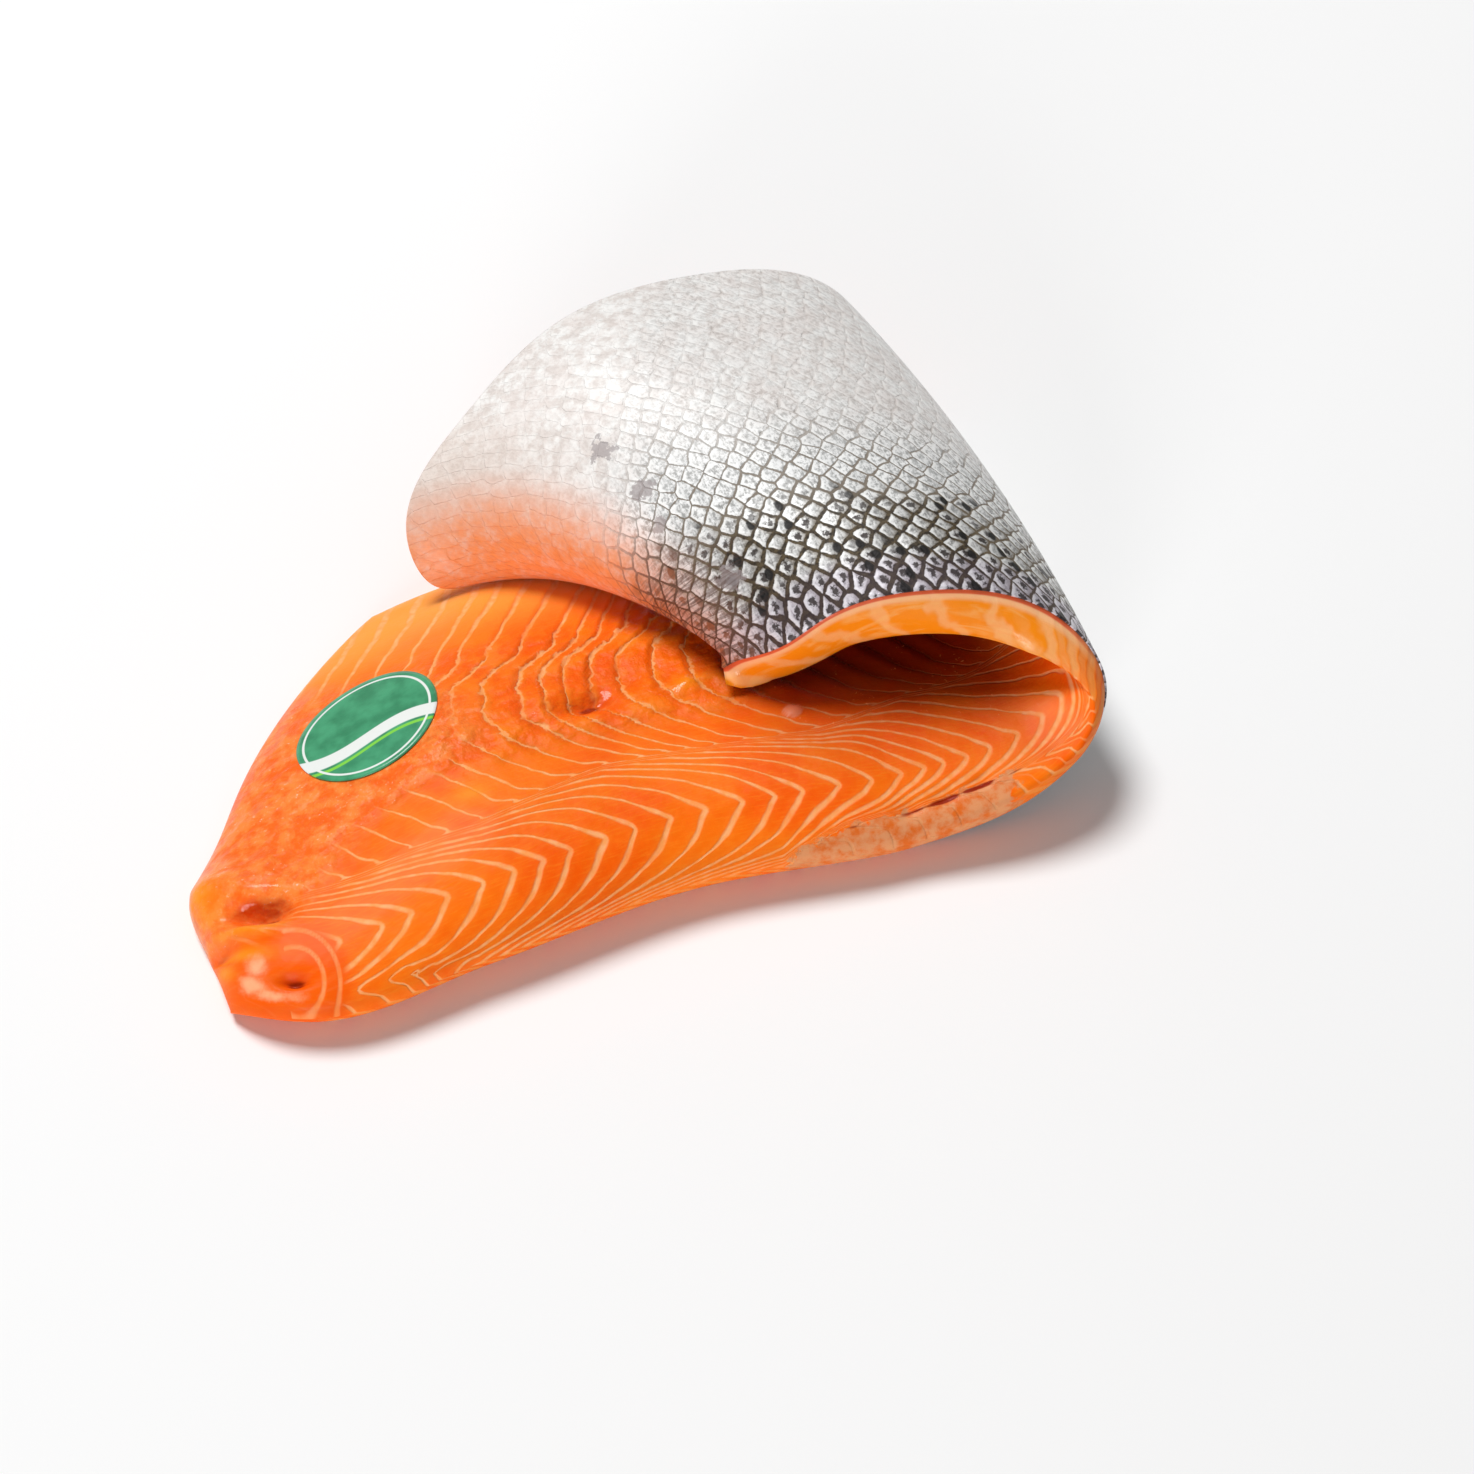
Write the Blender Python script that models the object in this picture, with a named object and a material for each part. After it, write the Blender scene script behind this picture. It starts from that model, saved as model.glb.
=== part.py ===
"""A side of salmon, skin down at its head end and folded back so that its tail half lies on top.

Metres, +Z up. The fillet runs along X from the head end to the bend, and across Y from the
dorsal edge at the front to the belly edge at the back. It rests on the flat of its skin.
"""

import math

import bmesh
import bpy
import numpy as np

# Stations across the fillet from its head end to its tail end. Each gives the dorsal edge, the
# middle and the belly edge as the skin's place (along, across, up) and the flesh on it there
STATIONS = {
    "head end": ((0.001, -0.003, 0, 0.023), (0.014, 0.077, 0, 0.010), (0.076, 0.150, 0, 0.005)),
    "neck": ((0.028, -0.0155, 0, 0.026), (0.038, 0.076, 0, 0.0155), (0.099, 0.154, 0, 0.0065)),
    "loin": ((0.080, -0.0105, 0, 0.030), (0.090, 0.073, 0, 0.0305), (0.130, 0.157, 0, 0.010)),
    "waist": ((0.150, -0.0015, 0, 0.030), (0.155, 0.076, 0, 0.028), (0.170, 0.159, 0, 0.011)),
    "foot": ((0.220, -0.007, 0, 0.029), (0.220, 0.078, 0, 0.025), (0.215, 0.163, 0, 0.010)),
    "low bend": ((0.271, -0.0055, 0.0095, 0.0205), (0.267, 0.083, 0.008, 0.020),
                 (0.252, 0.172, 0.008, 0.009)),
    "reach": ((0.299, 0.012, 0.033, 0.0105), (0.293, 0.098, 0.039, 0.017),
              (0.276, 0.184, 0.042, 0.008)),
    "high bend": ((0.285, 0.028, 0.057, 0.015), (0.277, 0.108, 0.069, 0.017),
                  (0.262, 0.192, 0.072, 0.008)),
    "crown": ((0.248, 0.040, 0.068, 0.019), (0.234, 0.118, 0.085, 0.017),
              (0.214, 0.199, 0.084, 0.008)),
    "shoulder": ((0.212, 0.046, 0.060, 0.021), (0.184, 0.125, 0.082, 0.015),
                 (0.160, 0.193, 0.080, 0.007)),
    "fall": ((0.199, 0.0475, 0.050, 0.0215), (0.149, 0.126, 0.064, 0.012),
             (0.120, 0.175, 0.061, 0.007)),
    "tuck": ((0.189, 0.0525, 0.0425, 0.018), (0.136, 0.124, 0.040, 0.008),
             (0.093, 0.151, 0.033, 0.0038)),
    "under": ((0.183, 0.057, 0.037, 0.013), (0.150, 0.116, 0.026, 0.004),
              (0.099, 0.141, 0.018, 0.0025)),
    "tail end": ((0.1805, 0.059, 0.0335, 0.009), (0.180, 0.117, 0.028, 0.005),
                 (0.135, 0.145, 0.019, 0.0025)),
}
MIDDLE = (0.1462, 0.0870)       # the middle of the fillet's box, which is the part's origin
HEIGHT_BLEND = 0.004            # how far the skin takes to leave the flat it rests on
THIN_FLESH = 0.0012             # no hollow leaves less flesh than about this

# How the flesh rounds off at its edges
DORSAL_FACE = (0.42, 0.85)      # height of the cut dorsal face over the flesh, below and above
FOLD_RUN = (0.22, 0.30)         # distance from the head end over which that face grows
DORSAL_ROUND = 0.22             # share of the width that the dorsal edge takes to round off
DORSAL_SWELL = 0.0085           # how far the flesh swells past the skin at the dorsal edge
SWELL_SHARE = 0.25              # share of the width over which that swelling dies out
FULL_SWELL = 0.015              # flesh at least this high swells in full
SWELL_CORNER = 0.35             # what is left of it at the very corner of the head end
HEAD_SWELL = 0.0075             # how far the flesh swells past the skin at the head end
HEAD_LOBE = (0.23, 0.12)        # share of the width where it does, and that lobe's half width
BELLY_FACE = 0.25               # height of the belly edge over the flesh
BELLY_ROUND = 0.07
HEAD_FACE = 0.15
HEAD_ROUND = 0.024
TAIL_FACE = 0.35
TAIL_ROUND = 0.010

# Hollows and lumps of the flesh: distance from the head end, share of the width, their half
# sizes along and across, and their height
MARKS = {
    "head cavity": (0.018, 0.166, 0.008, 0.020, -0.0090),
    "head cleft": (0.003, 0.105, 0.006, 0.018, -0.0060),
    "head finger": (0.014, 0.128, 0.009, 0.014, 0.0025),
    "head lobe": (0.006, 0.230, 0.012, 0.045, 0.0035),
    "corner lobe": (0.007, 0.045, 0.008, 0.022, 0.0030),
    "corner hole": (0.0255, 0.047, 0.0045, 0.010, -0.0045),
    "gaping hole": (0.134, 0.410, 0.009, 0.026, -0.0045),
    "gaping slope": (0.150, 0.460, 0.022, 0.050, -0.0016),
    "gaping step": (0.121, 0.450, 0.010, 0.060, 0.0014),
    "fat lump": (0.170, 0.405, 0.006, 0.020, 0.0016),
    "flap rest": (0.196, 0.360, 0.028, 0.110, -0.0030),
    "loin crest": (0.180, 0.110, 0.080, 0.060, 0.0012),
    "near loin gap": (0.229, 0.037, 0.006, 0.010, -0.0020),
    "middle loin gap": (0.2415, 0.040, 0.006, 0.010, -0.0018),
    "far loin gap": (0.2545, 0.045, 0.006, 0.010, -0.0018),
}

# Flakes of the belly half, which step up from a groove at each sheet between the muscles
FLAKE_PITCH = 0.011
FLAKE_DEPTH = 0.0009
FLAKE_REACH = (0.085, 0.290)    # where they show, as distance from the head end
FLAKE_WIDTH = (0.26, 0.90)      # and as share of the width

COLUMNS = 26                    # across the flesh and across the skin
END_ROWS = (0, 0.0012, 0.0040, 0.0085, 0.0150)
SMOOTH_STEPS = 24               # points between two stations
GRID = (1201, 161)              # smooth grid that every place is read from

LABEL_AT = (0.063, 0.535)        # distance from the head end, share of the width
LABEL_RADIUS = 0.026
LABEL_THICK = 0.0005
LABEL_GAP = 0.0003
LABEL_RINGS = 4
LABEL_SIDES = 36

FLESH_COLOUR = (0.90, 0.20, 0.035, 1)
LABEL_COLOUR = (0.02, 0.24, 0.11, 1)


def clear_scene():
    for thing in list(bpy.data.objects):
        bpy.data.objects.remove(thing, do_unlink=True)


def ease(low, high, value):
    """0 below low, 1 above high, and smooth between."""
    part = np.clip((value - low) / (high - low), 0, 1)
    return part * part * (3 - 2 * part)


def quarter(value):
    """The height of a quarter circle that starts upright at 0 and is level from 1 on."""
    return np.sqrt(1 - (1 - np.clip(value, 0, 1)) ** 2)


def unit(vectors):
    return vectors / np.maximum(np.linalg.norm(vectors, axis=-1, keepdims=True), 1e-12)


def blur(table, reach):
    """The table blurred down its rows, by that reach as a share of all the rows."""
    width = reach * len(table)
    count = math.ceil(3 * width)
    weight = np.exp(-(np.arange(-count, count + 1) / width) ** 2 / 2)
    padded = np.pad(table, ((count, count), (0, 0)), mode="reflect", reflect_type="odd")
    rows = [np.convolve(column, weight / weight.sum(), mode="valid") for column in padded.T]
    return np.maximum(np.array(rows).T, 0)


def across(shares):
    """Each station at those shares of the width, on the curve through its three places."""
    dorsal, middle, belly = np.moveaxis(np.array(list(STATIONS.values()), float), 1, 0)
    share = np.asarray(shares)[:, None, None]
    return (dorsal * (1 - share) * (1 - 2 * share) + middle * 4 * share * (1 - share)
            + belly * share * (2 * share - 1))


def along(points):
    """Dense points on smooth curves through the stations, shaped (curve, point, value).

    Up to the foot of the bend each tangent is the mean of the slopes beside it, so that the
    run stays straight. From there on the tangents make the curve's bend change evenly.
    """
    gap = np.linalg.norm(np.diff(points[..., :3], axis=1), axis=-1)
    slope = np.diff(points, axis=1) / gap[..., None]
    count = points.shape[1]
    system = np.zeros((len(points), count, count))
    wanted = np.zeros_like(points)
    foot = list(STATIONS).index("foot")
    for i in range(count):
        if i == 0 or i == count - 1:
            system[:, i, i] = 1
            wanted[:, i] = slope[:, min(i, count - 2)]
            continue
        before, after = gap[:, i - 1, None], gap[:, i, None]
        mean = slope[:, i - 1] * after + slope[:, i] * before
        system[:, i, i] = gap[:, i - 1] + gap[:, i]
        wanted[:, i] = mean
        if i > foot:
            system[:, i, i] *= 2
            system[:, i, i - 1] = gap[:, i]
            system[:, i, i + 1] = gap[:, i - 1]
            wanted[:, i] *= 3
    tangent = np.linalg.solve(system, wanted)
    gap = gap[..., None]
    x = (np.arange(SMOOTH_STEPS) / SMOOTH_STEPS)[None, None, :, None]
    start, end = points[:, :-1, None], points[:, 1:, None]
    leave, arrive = (tangent[:, :-1] * gap)[:, :, None], (tangent[:, 1:] * gap)[:, :, None]
    curve = (start * (2 * x ** 3 - 3 * x ** 2 + 1) + leave * (x ** 3 - 2 * x ** 2 + x)
             + end * (3 * x ** 2 - 2 * x ** 3) + arrive * (x ** 3 - x ** 2))
    curve = curve.reshape(len(points), -1, points.shape[-1])
    return np.concatenate([curve, points[:, -1:]], axis=1)


class Fillet:
    """The skin as a smooth sheet, with the flesh's height, read at any run and share.

    A run goes from 0 at the head end to 1 at the tail end, and a share from 0 at the dorsal
    edge to 1 at the belly edge.
    """

    def __init__(self):
        self.runs, self.shares = (np.linspace(0, 1, count) for count in GRID)
        curves = along(across(self.shares))
        curves[..., 2] = np.maximum(curves[..., 2], 0)
        steps = np.linalg.norm(np.diff(curves[..., :3], axis=1), axis=-1)
        ways = np.concatenate([np.zeros((len(curves), 1)), np.cumsum(steps, axis=1)], axis=1)
        table = [[np.interp(self.runs * way[-1], way, curve[:, axis]) for axis in range(4)]
                 for curve, way in zip(curves, ways)]
        table = np.moveaxis(np.array(table), 0, -1)
        skin = np.moveaxis(table[:3], 0, -1)
        self.length = ways[:, -1]
        skin[..., 2] = blur(skin[..., 2], HEIGHT_BLEND / self.length.mean())
        forward = unit(np.gradient(skin, axis=0))
        normal = unit(np.cross(forward, np.gradient(skin, axis=1)))
        to_belly = unit(np.cross(normal, forward))
        start = skin[0, :, 0] + self.runs[:, None] * self.length
        self.layers = np.concatenate(
            [skin, normal, to_belly, table[3][..., None], start[..., None]], axis=-1)

    def read(self, run, share):
        """The smooth grid's values at any runs and shares."""
        x, y = run * (GRID[0] - 1), share * (GRID[1] - 1)
        i = np.clip(np.floor(x).astype(int), 0, GRID[0] - 2)
        j = np.clip(np.floor(y).astype(int), 0, GRID[1] - 2)
        a, b = (x - i)[..., None], (y - j)[..., None]
        low = self.layers[i, j] * (1 - a) + self.layers[i + 1, j] * a
        high = self.layers[i, j + 1] * (1 - a) + self.layers[i + 1, j + 1] * a
        return low * (1 - b) + high * b

    def skin(self, run, share):
        return self.read(run, share)[..., :3]

    def flesh(self, run, share):
        """The flesh's surface: its height over the skin, its swollen edge and its relief."""
        values = self.read(run, share)
        skin, normal, to_belly = values[..., :3], values[..., 3:6], values[..., 6:9]
        height, station = values[..., 9], values[..., 10]
        length = np.interp(share, self.shares, self.length)
        face = DORSAL_FACE[0] + (DORSAL_FACE[1] - DORSAL_FACE[0]) * ease(*FOLD_RUN, station)
        rounded = (face + (1 - face) * quarter(share / DORSAL_ROUND)) \
            * (BELLY_FACE + (1 - BELLY_FACE) * quarter((1 - share) / BELLY_ROUND)) \
            * (HEAD_FACE + (1 - HEAD_FACE) * quarter(run * length / HEAD_ROUND)) \
            * (TAIL_FACE + (1 - TAIL_FACE) * quarter((1 - run) * length / TAIL_ROUND))
        from_head = quarter(run * length / HEAD_ROUND)
        swell = DORSAL_SWELL * (1 - ease(0, SWELL_SHARE, share)) \
            * np.minimum(1, height / FULL_SWELL) * (SWELL_CORNER + (1 - SWELL_CORNER) * from_head)
        lobe = np.exp(-((share - HEAD_LOBE[0]) / HEAD_LOBE[1]) ** 2)
        ahead = HEAD_SWELL * lobe * (1 - ease(0, HEAD_ROUND, run * length))
        rise = height * rounded + relief(share, station)
        rise = (rise + np.sqrt(rise ** 2 + 4 * THIN_FLESH ** 2)) / 2
        forward = np.cross(to_belly, normal)
        return (skin + normal * rise[..., None] - to_belly * swell[..., None]
                - forward * ahead[..., None])


def relief(share, station):
    """Hollows, lumps and flakes, as heights over the smooth flesh."""
    total = np.zeros_like(station)
    for at, width_at, half_long, half_wide, height in MARKS.values():
        reach = ((station - at) / half_long) ** 2 + ((share - width_at) / half_wide) ** 2
        total += height * np.exp(-reach)
    phase = (station / FLAKE_PITCH) % 1
    shown = ease(FLAKE_REACH[0], FLAKE_REACH[0] + 0.04, station) \
        * (1 - ease(FLAKE_REACH[1] - 0.04, FLAKE_REACH[1], station)) \
        * ease(FLAKE_WIDTH[0], FLAKE_WIDTH[0] + 0.10, share) \
        * (1 - ease(FLAKE_WIDTH[1] - 0.15, FLAKE_WIDTH[1], share))
    return total - FLAKE_DEPTH * shown * (0.5 + 0.5 * np.cos(2 * math.pi * phase))


def row_runs(length):
    """Rows close together at both ends and half a flake apart between."""
    ends = np.array(END_ROWS)
    count = round((length - 2 * ends[-1]) / (FLAKE_PITCH / 2))
    between = np.linspace(ends[-1], length - ends[-1], count + 1)[1:-1]
    return np.concatenate([ends, between, length - ends[::-1]]) / length


def add_object(name, mesh, colour, roughness):
    material = bpy.data.materials.new(name)
    material.use_nodes = True
    shader = material.node_tree.nodes["Principled BSDF"]
    shader.inputs["Base Color"].default_value = colour
    shader.inputs["Roughness"].default_value = roughness
    shader.inputs["Metallic"].default_value = 0
    mesh.materials.append(material)
    mesh.shade_smooth()
    mesh.set_sharp_from_angle(angle=math.radians(60))
    thing = bpy.data.objects.new(name, mesh)
    bpy.context.scene.collection.objects.link(thing)
    return thing


def finish_mesh(name, work):
    bmesh.ops.recalc_face_normals(work, faces=work.faces)
    mesh = bpy.data.meshes.new(name)
    work.to_mesh(mesh)
    work.free()
    return mesh


def build_fillet(fillet):
    """One closed body: a grid of skin, a grid of flesh over it, and faces along the rim."""
    runs = row_runs(float(fillet.length.mean()))
    shares = 0.5 - 0.5 * np.cos(np.linspace(0, math.pi, COLUMNS + 1))
    work = bmesh.new()

    def grid(surface):
        places = surface(*np.meshgrid(runs, shares, indexing="ij")) - (*MIDDLE, 0)
        return [[work.verts.new(place) for place in row] for row in places]

    flesh = grid(fillet.flesh)
    skin = grid(fillet.skin)
    for cells in (flesh, skin):
        for low, high in zip(cells, cells[1:]):
            for corners in zip(low, low[1:], high[1:], high):
                work.faces.new(corners)
    for low, high, low_skin, high_skin in zip(flesh, flesh[1:], skin, skin[1:]):
        for side in (0, -1):
            work.faces.new((low[side], high[side], high_skin[side], low_skin[side]))
    for end in (0, -1):
        for corners in zip(skin[end], flesh[end], flesh[end][1:], skin[end][1:]):
            work.faces.new(corners)
    bmesh.ops.triangulate(work, faces=work.faces)
    return add_object("fillet", finish_mesh("fillet", work), FLESH_COLOUR, 0.35)


def build_label(fillet):
    """A thin round sticker that follows the flesh, a fine gap above it."""
    at, share = LABEL_AT
    column = int(round(share * (GRID[1] - 1)))
    run = (at - fillet.layers[0, column, 0]) / fillet.length[column]
    step = 1e-3
    centre, ahead, aside = (fillet.flesh(np.array(run + a), np.array(share + b))
                            for a, b in ((0, 0), (step, 0), (0, step)))
    slopes = np.stack([(ahead - centre) / step, (aside - centre) / step])
    normal = unit(np.cross(*slopes))
    flat = unit(slopes[0])
    frame = np.stack([flat, np.cross(normal, flat)])
    to_run_share = np.linalg.inv(slopes @ frame.T)
    work = bmesh.new()

    def place(radius, turn, height):
        offset = radius * np.array([math.cos(turn), math.sin(turn)]) @ to_run_share
        spot = fillet.flesh(run + offset[:1], share + offset[1:])[0]
        return work.verts.new(spot + normal * height - (*MIDDLE, 0))

    turns = [2 * math.pi * side / LABEL_SIDES for side in range(LABEL_SIDES)]
    rims = []
    for height in (LABEL_GAP, LABEL_GAP + LABEL_THICK):
        hub = place(0, 0, height)
        rings = [[place(LABEL_RADIUS * ring / LABEL_RINGS, turn, height) for turn in turns]
                 for ring in range(1, LABEL_RINGS + 1)]
        for a, b in zip(rings[0], rings[0][1:] + rings[0][:1]):
            work.faces.new((hub, a, b))
        for inner, outer in zip(rings, rings[1:]):
            for i in range(LABEL_SIDES):
                j = (i + 1) % LABEL_SIDES
                work.faces.new((inner[i], outer[i], outer[j], inner[j]))
        rims.append(rings[-1])
    for i in range(LABEL_SIDES):
        j = (i + 1) % LABEL_SIDES
        work.faces.new((rims[0][i], rims[0][j], rims[1][j], rims[1][i]))
    bmesh.ops.triangulate(work, faces=work.faces)
    return add_object("label", finish_mesh("label", work), LABEL_COLOUR, 0.4)


def main():
    clear_scene()
    fillet = Fillet()
    build_fillet(fillet)
    build_label(fillet)


main()
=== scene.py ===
"""The looks of a folded side of salmon: wet orange flesh, silver skin with scales, and a label.

Metres, +Z up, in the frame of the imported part. The fillet's surfaces are the same smooth sheets
as the part's, read more finely, with the lines between the muscles and the scales as values
along them that the finishes read.
"""

import math

import bpy
import numpy as np
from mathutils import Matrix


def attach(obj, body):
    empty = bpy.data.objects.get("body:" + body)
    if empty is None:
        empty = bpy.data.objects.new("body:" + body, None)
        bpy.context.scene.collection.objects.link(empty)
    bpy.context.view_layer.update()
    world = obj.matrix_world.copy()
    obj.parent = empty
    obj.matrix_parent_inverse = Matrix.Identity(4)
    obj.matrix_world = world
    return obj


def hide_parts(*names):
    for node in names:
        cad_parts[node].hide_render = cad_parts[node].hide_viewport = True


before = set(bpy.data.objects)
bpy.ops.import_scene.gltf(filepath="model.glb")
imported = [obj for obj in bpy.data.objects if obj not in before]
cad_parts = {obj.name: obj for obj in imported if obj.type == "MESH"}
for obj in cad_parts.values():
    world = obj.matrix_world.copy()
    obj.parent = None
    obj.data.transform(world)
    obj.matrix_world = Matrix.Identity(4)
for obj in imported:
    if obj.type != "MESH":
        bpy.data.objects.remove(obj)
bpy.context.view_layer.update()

# Stations across the fillet from its head end to its tail end. Each gives the dorsal edge, the
# middle and the belly edge as the skin's place (along, across, up) and the flesh on it there
STATIONS = {
    "head end": ((0.001, -0.003, 0, 0.023), (0.014, 0.077, 0, 0.010), (0.076, 0.150, 0, 0.005)),
    "neck": ((0.028, -0.0155, 0, 0.026), (0.038, 0.076, 0, 0.0155), (0.099, 0.154, 0, 0.0065)),
    "loin": ((0.080, -0.0105, 0, 0.030), (0.090, 0.073, 0, 0.0305), (0.130, 0.157, 0, 0.010)),
    "waist": ((0.150, -0.0015, 0, 0.030), (0.155, 0.076, 0, 0.028), (0.170, 0.159, 0, 0.011)),
    "foot": ((0.220, -0.007, 0, 0.029), (0.220, 0.078, 0, 0.025), (0.215, 0.163, 0, 0.010)),
    "low bend": ((0.271, -0.0055, 0.0095, 0.0205), (0.267, 0.083, 0.008, 0.020),
                 (0.252, 0.172, 0.008, 0.009)),
    "reach": ((0.299, 0.012, 0.033, 0.0105), (0.293, 0.098, 0.039, 0.017),
              (0.276, 0.184, 0.042, 0.008)),
    "high bend": ((0.285, 0.028, 0.057, 0.015), (0.277, 0.108, 0.069, 0.017),
                  (0.262, 0.192, 0.072, 0.008)),
    "crown": ((0.248, 0.040, 0.068, 0.019), (0.234, 0.118, 0.085, 0.017),
              (0.214, 0.199, 0.084, 0.008)),
    "shoulder": ((0.212, 0.046, 0.060, 0.021), (0.184, 0.125, 0.082, 0.015),
                 (0.160, 0.193, 0.080, 0.007)),
    "fall": ((0.199, 0.0475, 0.050, 0.0215), (0.149, 0.126, 0.064, 0.012),
             (0.120, 0.175, 0.061, 0.007)),
    "tuck": ((0.189, 0.0525, 0.0425, 0.018), (0.136, 0.124, 0.040, 0.008),
             (0.093, 0.151, 0.033, 0.0038)),
    "under": ((0.183, 0.057, 0.037, 0.013), (0.150, 0.116, 0.026, 0.004),
              (0.099, 0.141, 0.018, 0.0025)),
    "tail end": ((0.1805, 0.059, 0.0335, 0.009), (0.180, 0.117, 0.028, 0.005),
                 (0.135, 0.145, 0.019, 0.0025)),
}
# The middle of the folded fillet, its heights' blend along it and its thinnest flesh
MIDDLE = (0.1462, 0.0870)
HEIGHT_BLEND = 0.004
THIN_FLESH = 0.0012

# How the flesh rounds off at its edges
DORSAL_FACE = (0.42, 0.85)
FOLD_RUN = (0.22, 0.30)
DORSAL_ROUND = 0.22
DORSAL_SWELL = 0.0085
SWELL_SHARE = 0.25
FULL_SWELL = 0.015
SWELL_CORNER = 0.35
HEAD_SWELL = 0.0075
HEAD_LOBE = (0.23, 0.12)
BELLY_FACE = 0.25
BELLY_ROUND = 0.07
HEAD_FACE = 0.15
HEAD_ROUND = 0.024
TAIL_FACE = 0.35
TAIL_ROUND = 0.010

# Hollows and lumps of the flesh: distance from the head end, share of the width, their half
# sizes along and across, and their height
MARKS = {
    "head cavity": (0.018, 0.166, 0.008, 0.020, -0.0090),
    "head cleft": (0.003, 0.105, 0.006, 0.018, -0.0060),
    "head finger": (0.014, 0.128, 0.009, 0.014, 0.0025),
    "head lobe": (0.006, 0.230, 0.012, 0.045, 0.0035),
    "corner lobe": (0.007, 0.045, 0.008, 0.022, 0.0030),
    "corner hole": (0.0255, 0.047, 0.0045, 0.010, -0.0045),
    "gaping hole": (0.134, 0.410, 0.009, 0.026, -0.0045),
    "gaping slope": (0.150, 0.460, 0.022, 0.050, -0.0016),
    "gaping step": (0.121, 0.450, 0.010, 0.060, 0.0014),
    "fat lump": (0.170, 0.405, 0.006, 0.020, 0.0016),
    "flap rest": (0.196, 0.360, 0.028, 0.110, -0.0030),
    "loin crest": (0.180, 0.110, 0.080, 0.060, 0.0012),
    "near loin gap": (0.229, 0.037, 0.006, 0.010, -0.0020),
    "middle loin gap": (0.2415, 0.040, 0.006, 0.010, -0.0018),
    "far loin gap": (0.2545, 0.045, 0.006, 0.010, -0.0018),
}

# The lines between the muscles, in millimetres. LINE_BACK is how far a line lies before its tip
# at each share of the width, with the cut side below 0. TIPS gives the number of each line and
# where its tip lies from the head end. The two seams give the share at which lines run together
LINE_BACK = {
    -0.20: -36, -0.10: -44, -0.05: -50, 0: -56, 0.008: -62, 0.016: -68, 0.0185: -53,
    0.022: -29, 0.033: -18.4, 0.048: -9.7, 0.072: -1.2, 0.088: 1.6, 0.100: -0.4, 0.128: -8.8,
    0.158: -19.2, 0.175: -31.8, 0.190: -44, 0.197: -50, 0.207: -84, 0.215: -86, 0.307: -102,
    0.41: -115.2, 0.50: -113.9, 0.55: -111.5, 0.61: -97, 0.662: -93.4, 0.848: -73.7,
    1.0: -64,
}
TIPS = {
    -6: -11, -1: 38.5, 0: 51, 1: 60.9, 2: 73, 3: 84.7, 4: 95.6, 5: 105.2, 6: 114.7, 7: 125.8,
    8: 137.2, 9: 148.7, 10: 160.8, 11: 172.6, 12: 184.1, 13: 193.1, 14: 204.6, 15: 215.9,
    16: 227.9, 17: 236, 18: 243.5, 19: 252.3, 20: 262.7, 31: 395, 41: 600,
}
MIDDLE_SEAM = {0: 0.175, 49: 0.175, 89: 0.180, 132: 0.220, 166: 0.205, 205: 0.198, 238: 0.233,
               300: 0.233, 600: 0.20}
EDGE_SEAM = {0: 0.019, 55: 0.019, 66: 0.007, 80: 0, 185: 0, 206: 0.030, 229: 0.038,
             254: 0.044, 300: 0.030, 600: 0.020}
SEAM_SHARE, EDGE_SHARE, TIP_SHARE = 0.202, 0.017, 0.092

# How much less far the lines reach back along the edge at the head end, in millimetres
HEAD_TURN = 36

# The membrane over the head end, where few lines show: how far it reaches at each share
MEMBRANE = {-0.2: 0, 0.05: 0, 0.10: 0.008, 0.14: 0.026, 0.20: 0.040, 0.265: 0.050, 0.32: 0.075,
            0.385: 0.095, 0.50: 0.095, 0.60: 0.080, 0.70: 0.055, 0.80: 0.035, 1: 0.010}

# Soft patches: distance from the head end, share of the width and their half sizes
YELLOW = (
    (0.014, 0.130, 0.010, 0.011), (0.003, 0.230, 0.007, 0.060), (0.011, 0.092, 0.010, 0.012),
    (0.004, 0.060, 0.004, 0.020), (0.170, 0.405, 0.005, 0.018), (0.089, 0.250, 0.006, 0.020),
)
PEACH = (
    (0.0150, 0.066, 0.0045, 0.022), (0.0130, 0.035, 0.005, 0.018), (0.0200, 0.022, 0.010, 0.010),
)
CORNER_HOLE = (0.0258, 0.047)
# The hollows that the flesh's colour darkens, as painted shade in them
SHADED_HOLES = (
    (0.0190, 0.160, 0.0055, 0.012), (*CORNER_HOLE, 0.0040, 0.008), (0.135, 0.408, 0.006, 0.014),
)
DROPS = ((0.1994, 0.263, 0.0034, 0.020),)
DROP_EDGE = 0.37
DROP_HEIGHT = 0.0013
BARE_SKIN = (
    (0.472, 0.538, 0.006, 0.040), (0.468, 0.395, 0.005, 0.025), (0.469, 0.311, 0.004, 0.020),
    (0.455, 0.150, 0.006, 0.030),
)

# Gaps along the loin's edge: distance from the head end, half length and half width. A thin
# crack joins them
SLITS = ((0.2100, 0.0045, 0.0004), (0.2291, 0.0056, 0.0009), (0.2414, 0.0064, 0.0010),
         (0.2543, 0.0066, 0.0012), (0.2680, 0.0050, 0.0004))
CRACK = 0.0003

# Pale rings round the hole in the head corner, and the widths that turn shares into metres
RINGS = (0.0078, 0.0120)
HEAD_WIDTH = 0.160
LOIN_WIDTH = 0.165

# The height of a flake's step, and where in a flake it falls back
FLAKE_STEP = 0.0012
FLAKE_FALL = 0.80

# The flap's front edge, as the place across at each place along
FRONT_EDGE = {0.180: 0.055, 0.212: 0.046, 0.248: 0.040, 0.285: 0.028, 0.300: 0.010}

# Where the skin turns rosy towards the tail, at each share of the width
BLUSH = {0: 0.452, 0.2: 0.462, 0.4: 0.478, 0.55: 0.491, 0.7: 0.503, 0.85: 0.513, 1: 0.518}

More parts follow.
